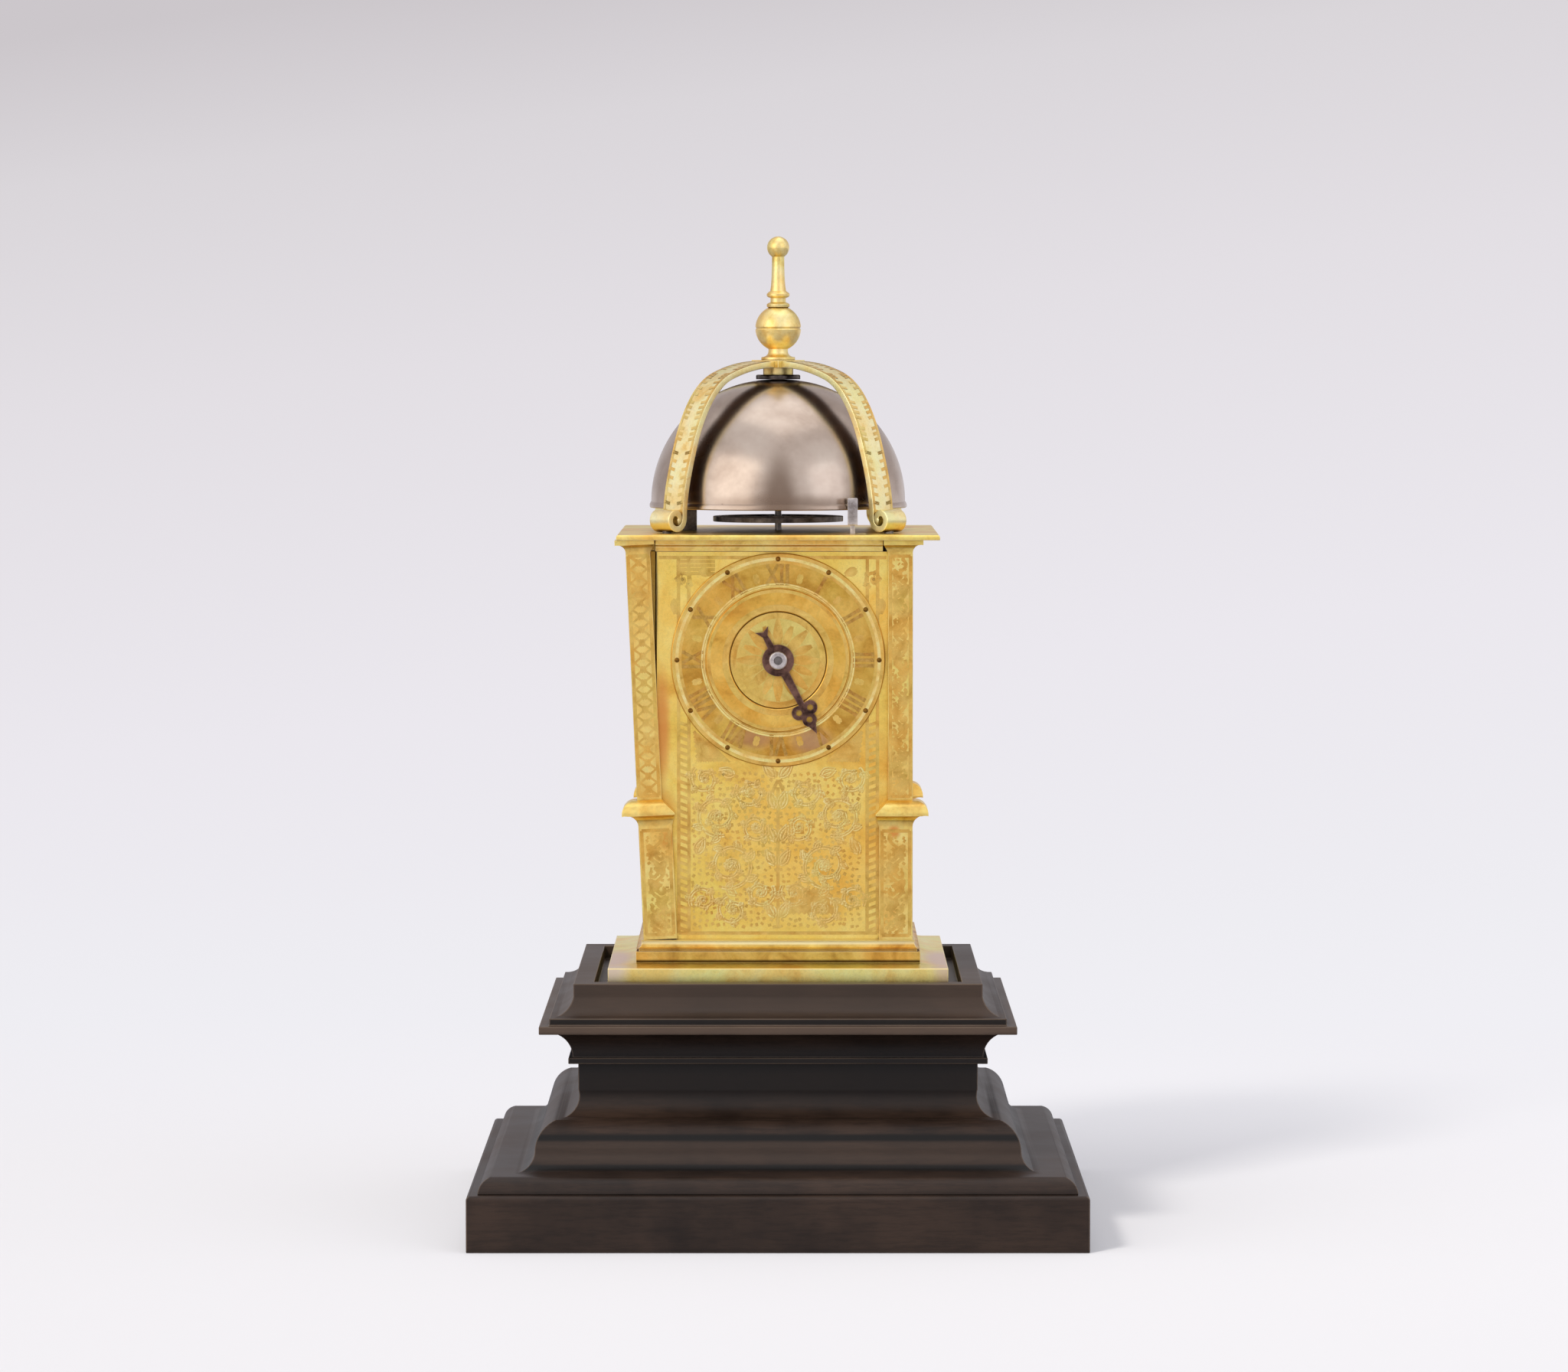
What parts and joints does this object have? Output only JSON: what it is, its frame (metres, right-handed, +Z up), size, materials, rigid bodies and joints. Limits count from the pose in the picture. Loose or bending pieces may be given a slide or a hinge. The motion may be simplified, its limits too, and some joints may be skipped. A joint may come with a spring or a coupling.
{
  "type": "table clock",
  "caption": "Gilt turret table clock with a single hand, strapped bell and turned finial on a stepped ebonised wooden base; going train with verge and balance, striking train, side doors.",
  "frame": {"origin": "middle of the plinth's underside", "axes": "+Z up to the finial, -Y out of the dial, +X to the right as seen from the dial side"},
  "size_m": [0.184, 0.184, 0.3003],
  "materials": {
    "ebonised_wood": "black stained pearwood, waxed",
    "gilt_brass": "fire gilt and engraved, rubbed on the edges",
    "bell_metal": "turned pale bell metal, lightly tarnished",
    "hand_steel": "blued and browned steel",
    "movement_steel": "filed and darkened steel",
    "frame_iron": "forged iron, filed",
    "movement_brass": "filed brass wheels, dulled"
  },
  "bodies": {
    "case": {"base_plinth": "ebonised_wood", "base_step_moulding": "ebonised_wood", "base_waist": "ebonised_wood", "base_cap": "ebonised_wood", "foot_plate": "gilt_brass", "floor_plate": "gilt_brass", "pilaster_front_left": "gilt_brass", "pilaster_front_right": "gilt_brass", "pilaster_back_left": "gilt_brass", "pilaster_back_right": "gilt_brass", "front_plate": "gilt_brass", "back_plate": "gilt_brass", "cornice_front": "gilt_brass", "cornice_right": "gilt_brass", "cornice_back": "gilt_brass", "cornice_left": "gilt_brass", "top_plate": "gilt_brass", "chapter_disc": "gilt_brass", "dial_ring": "gilt_brass", "dial_centre": "gilt_brass", "touch_studs": "gilt_brass", "balance_cock": "movement_steel", "frame_posts": "frame_iron", "front_bar": "frame_iron", "middle_bar": "frame_iron", "back_bar": "frame_iron", "ratchet_clicks": "movement_steel", "hinge_pins": "movement_steel", "bell": "bell_metal", "bell_washer": "movement_steel", "bell_nut": "movement_steel", "strap_back_right": "gilt_brass", "strap_back_left": "gilt_brass", "strap_front_left": "gilt_brass", "strap_front_right": "gilt_brass", "strap_screws": "movement_steel", "strap_hub": "gilt_brass", "finial": "gilt_brass"},
    "hand": {"hour_hand": "hand_steel", "hand_collet": "hand_steel", "hour_arbor": "movement_steel", "hour_wheel": "movement_brass"},
    "going_barrel": {"going_barrel": "movement_brass", "great_wheel": "movement_brass"},
    "going_arbor": {"going_arbor": "movement_steel"},
    "second_wheel": {"second_arbor": "movement_steel", "second_wheel": "movement_brass"},
    "crown_wheel": {"crown_arbor": "movement_steel", "crown_wheel": "movement_brass"},
    "balance": {"verge": "movement_steel", "balance_wheel": "movement_steel"},
    "strike_barrel": {"strike_barrel": "movement_brass", "strike_wheel": "movement_brass"},
    "strike_arbor": {"strike_arbor": "movement_steel"},
    "pin_wheel": {"pin_arbor": "movement_steel", "pin_wheel": "movement_brass"},
    "fly": {"fly": "movement_steel"},
    "hammer": {"hammer": "movement_steel"},
    "right_door": {"right_door": "gilt_brass"},
    "left_door": {"left_door": "gilt_brass"}
  },
  "joints": [
    {"name": "going_barrel_turn", "type": "hinge", "parent": "case", "child": "going_barrel", "pos_m": [0, 0, 0.1499], "axis": [0, 1, 0], "continuous": true},
    {"name": "hand_turn", "type": "hinge", "parent": "case", "child": "hand", "pos_m": [0, 0, 0.1723], "axis": [0, 1, 0], "continuous": true},
    {"name": "second_wheel_turn", "type": "hinge", "parent": "case", "child": "second_wheel", "pos_m": [0.01187, 0, 0.1689], "axis": [0, 1, 0], "continuous": true},
    {"name": "crown_wheel_turn", "type": "hinge", "parent": "case", "child": "crown_wheel", "pos_m": [0, 0, 0.18399], "axis": [0, 1, 0], "continuous": true},
    {"name": "going_winding", "type": "hinge", "parent": "case", "child": "going_arbor", "pos_m": [0, 0, 0.1499], "axis": [0, 1, 0], "continuous": true},
    {"name": "balance_swing", "type": "hinge", "parent": "case", "child": "balance", "pos_m": [0, 0, 0.213], "axis": [0, 0, 1], "range_deg": [-20, 20]},
    {"name": "strike_barrel_turn", "type": "hinge", "parent": "case", "child": "strike_barrel", "pos_m": [0, 0, 0.112], "axis": [0, 1, 0], "continuous": true},
    {"name": "pin_wheel_turn", "type": "hinge", "parent": "case", "child": "pin_wheel", "pos_m": [0.01499, 0, 0.12865], "axis": [0, 1, 0], "continuous": true},
    {"name": "fly_turn", "type": "hinge", "parent": "case", "child": "fly", "pos_m": [0.01996, 0, 0.14719], "axis": [0, 1, 0], "continuous": true},
    {"name": "strike_winding", "type": "hinge", "parent": "case", "child": "strike_arbor", "pos_m": [0, 0, 0.112], "axis": [0, 1, 0], "continuous": true},
    {"name": "hammer_swing", "type": "hinge", "parent": "case", "child": "hammer", "pos_m": [0.0225, 0, 0.19], "axis": [0, 1, 0], "range_deg": [0, 5]},
    {"name": "right_door_hinge", "type": "hinge", "parent": "case", "child": "right_door", "pos_m": [0.0401, 0.02875, 0.14], "axis": [0, 0, 1], "range_deg": [0, 100]},
    {"name": "left_door_hinge", "type": "hinge", "parent": "case", "child": "left_door", "pos_m": [-0.0401, 0.02875, 0.14], "axis": [0, 0, -1], "range_deg": [0, 100]}
  ],
  "couplings": [
    {"joint": "hand_turn", "follows": "going_barrel_turn", "ratio": -0.16667},
    {"joint": "second_wheel_turn", "follows": "going_barrel_turn", "ratio": -6},
    {"joint": "crown_wheel_turn", "follows": "going_barrel_turn", "ratio": 30},
    {"joint": "pin_wheel_turn", "follows": "strike_barrel_turn", "ratio": -6},
    {"joint": "fly_turn", "follows": "strike_barrel_turn", "ratio": 30}
  ]
}
